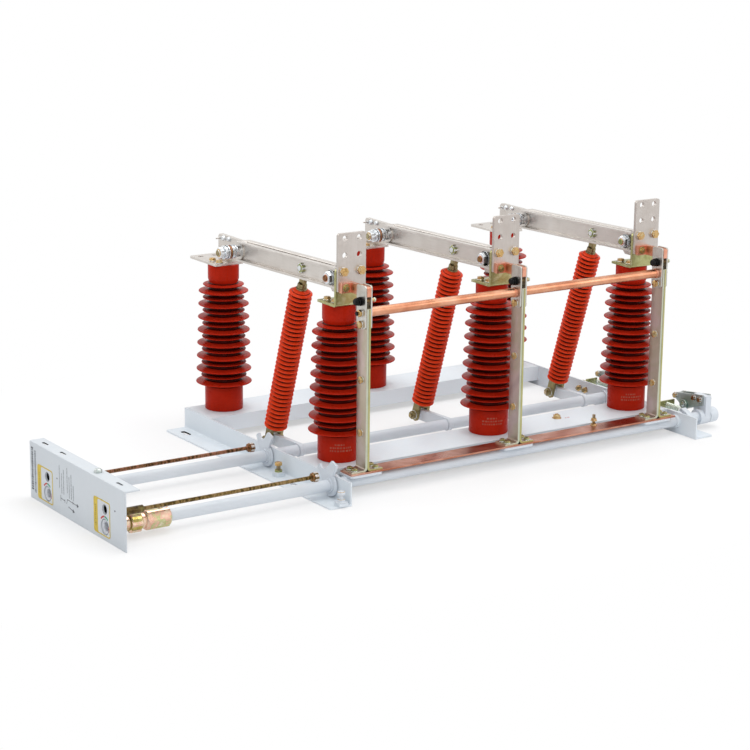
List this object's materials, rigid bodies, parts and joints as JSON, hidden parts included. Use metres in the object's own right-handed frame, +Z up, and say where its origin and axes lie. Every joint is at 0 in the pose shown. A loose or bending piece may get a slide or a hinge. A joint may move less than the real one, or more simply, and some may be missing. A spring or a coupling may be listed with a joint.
{
  "type": "indoor disconnector",
  "caption": "Indoor high-voltage disconnector with ribbed post insulators, hinged knife blades, an earthing switch and two shafts that run to a faceplate.",
  "frame": {"origin": "on the mounting plane, halfway between the two slots of the left foot", "axes": "+X along the row of poles, away from the faceplate; +Y from the earthing side to the hinge side; +Z up"},
  "size_m": [1.789, 0.854, 0.611],
  "materials": {
    "frame_paint": "pale blue-grey powder coat, satin",
    "insulator_resin": "deep red cast resin, glossy",
    "rod_resin": "orange-red cast resin, glossy",
    "plated_copper": "tin-plated copper, brushed",
    "bare_copper": "bare copper, drawn",
    "tinned_copper": "copper with a worn tin coat",
    "zinc_steel": "yellow-passivated zinc",
    "zinc_brass": "yellow-passivated zinc with pink and green tints",
    "zinc_brown": "brown-gold passivated thread",
    "bright_steel": "bright zinc",
    "dark_steel": "dark zinc",
    "black_caps": "black moulded plastic",
    "white_paint": "pale paint"
  },
  "bodies": {
    "frame": {"beam_back": "frame_paint", "beam_front": "frame_paint", "earth_contacts": "bare_copper", "earth_shaft_spring": "zinc_steel", "end_frame_left": "frame_paint", "end_frame_right": "frame_paint", "faceplate": "frame_paint", "frame_bolts": "zinc_steel", "main_contacts": "plated_copper", "main_shaft_spring": "zinc_steel", "plated_brackets": "zinc_steel", "post_insulator_back_1": "insulator_resin", "post_insulator_back_2": "insulator_resin", "post_insulator_back_3": "insulator_resin", "post_insulator_front_1": "insulator_resin", "post_insulator_front_2": "insulator_resin", "post_insulator_front_3": "insulator_resin", "rear_terminal_1": "plated_copper", "rear_terminal_2": "plated_copper", "rear_terminal_3": "plated_copper", "shaft_bearings": "frame_paint", "terminal_pad_1": "plated_copper", "terminal_pad_2": "plated_copper", "terminal_pad_3": "plated_copper"},
    "main_shaft": {"crank_arm_1": "frame_paint", "crank_arm_2": "frame_paint", "crank_arm_3": "frame_paint", "main_coupling": "zinc_brass", "main_lock_plate": "frame_paint", "main_shaft_collar": "white_paint", "main_shaft_lever": "dark_steel", "main_shaft_tube": "frame_paint"},
    "earth_shaft": {"contact_fingers": "tinned_copper", "earth_blade_1": "tinned_copper", "earth_blade_2": "tinned_copper", "earth_blade_3": "tinned_copper", "earth_blade_bolts": "zinc_steel", "earth_bus_strip": "bare_copper", "earth_coupling": "zinc_brass", "earth_lock_plate": "frame_paint", "earth_shaft_collar": "white_paint", "earth_shaft_lever": "dark_steel", "earth_shaft_tube": "frame_paint", "finger_knobs": "black_caps", "link_tubes": "bare_copper", "support_plates": "frame_paint"},
    "main_lock": {"main_lock_rod": "zinc_brown"},
    "earth_lock": {"earth_lock_rod": "zinc_brown"},
    "blade_1": {"main_blade_1": "plated_copper", "blade_bolts_1": "bright_steel"},
    "rod_1": {"pull_rod_1": "rod_resin", "rod_ends_1": "zinc_steel"},
    "blade_2": {"main_blade_2": "plated_copper", "blade_bolts_2": "bright_steel"},
    "rod_2": {"pull_rod_2": "rod_resin", "rod_ends_2": "zinc_steel"},
    "blade_3": {"main_blade_3": "plated_copper", "blade_bolts_3": "bright_steel"},
    "rod_3": {"pull_rod_3": "rod_resin", "rod_ends_3": "zinc_steel"}
  },
  "joints": [
    {"name": "main_shaft_turn", "type": "hinge", "parent": "frame", "child": "main_shaft", "pos_m": [0.566, -0.098, 0.032], "axis": [1, 0, 0], "range_deg": [0, 65], "deforming": ["main_shaft_spring"]},
    {"name": "earth_shaft_turn", "type": "hinge", "parent": "frame", "child": "earth_shaft", "pos_m": [0.566, -0.383, 0.032], "axis": [1, 0, 0], "range_deg": [0, 75], "deforming": ["earth_shaft_spring"]},
    {"name": "main_lock_slide", "type": "slide", "parent": "frame", "child": "main_lock", "axis": [1, 0, 0], "range_m": [0, 0.06]},
    {"name": "earth_lock_slide", "type": "slide", "parent": "frame", "child": "earth_lock", "axis": [1, 0, 0], "range_m": [0, 0.06]},
    {"name": "blade_turn_1", "type": "hinge", "parent": "frame", "child": "blade_1", "pos_m": [0.116, 0.172, 0.486], "axis": [1, 0, 0], "range_deg": [-27.41, 0]},
    {"name": "rod_turn_1", "type": "hinge", "parent": "main_shaft", "child": "rod_1", "pos_m": [0.116, 0.026, 0.031], "axis": [1, 0, 0], "range_deg": [-77.91, 0]},
    {"name": "blade_turn_2", "type": "hinge", "parent": "frame", "child": "blade_2", "pos_m": [0.566, 0.172, 0.486], "axis": [1, 0, 0], "range_deg": [-27.41, 0]},
    {"name": "rod_turn_2", "type": "hinge", "parent": "main_shaft", "child": "rod_2", "pos_m": [0.566, 0.026, 0.031], "axis": [1, 0, 0], "range_deg": [-77.91, 0]},
    {"name": "blade_turn_3", "type": "hinge", "parent": "frame", "child": "blade_3", "pos_m": [1.016, 0.172, 0.486], "axis": [1, 0, 0], "range_deg": [-27.41, 0]},
    {"name": "rod_turn_3", "type": "hinge", "parent": "main_shaft", "child": "rod_3", "pos_m": [1.016, 0.026, 0.031], "axis": [1, 0, 0], "range_deg": [-77.91, 0]}
  ],
  "couplings": [
    {"joint": "blade_turn_1", "follows": "main_shaft_turn", "ratio": -0.42159},
    {"joint": "rod_turn_1", "follows": "main_shaft_turn", "ratio": -1.1985},
    {"joint": "blade_turn_2", "follows": "main_shaft_turn", "ratio": -0.42159},
    {"joint": "rod_turn_2", "follows": "main_shaft_turn", "ratio": -1.1985},
    {"joint": "blade_turn_3", "follows": "main_shaft_turn", "ratio": -0.42159},
    {"joint": "rod_turn_3", "follows": "main_shaft_turn", "ratio": -1.1985}
  ]
}
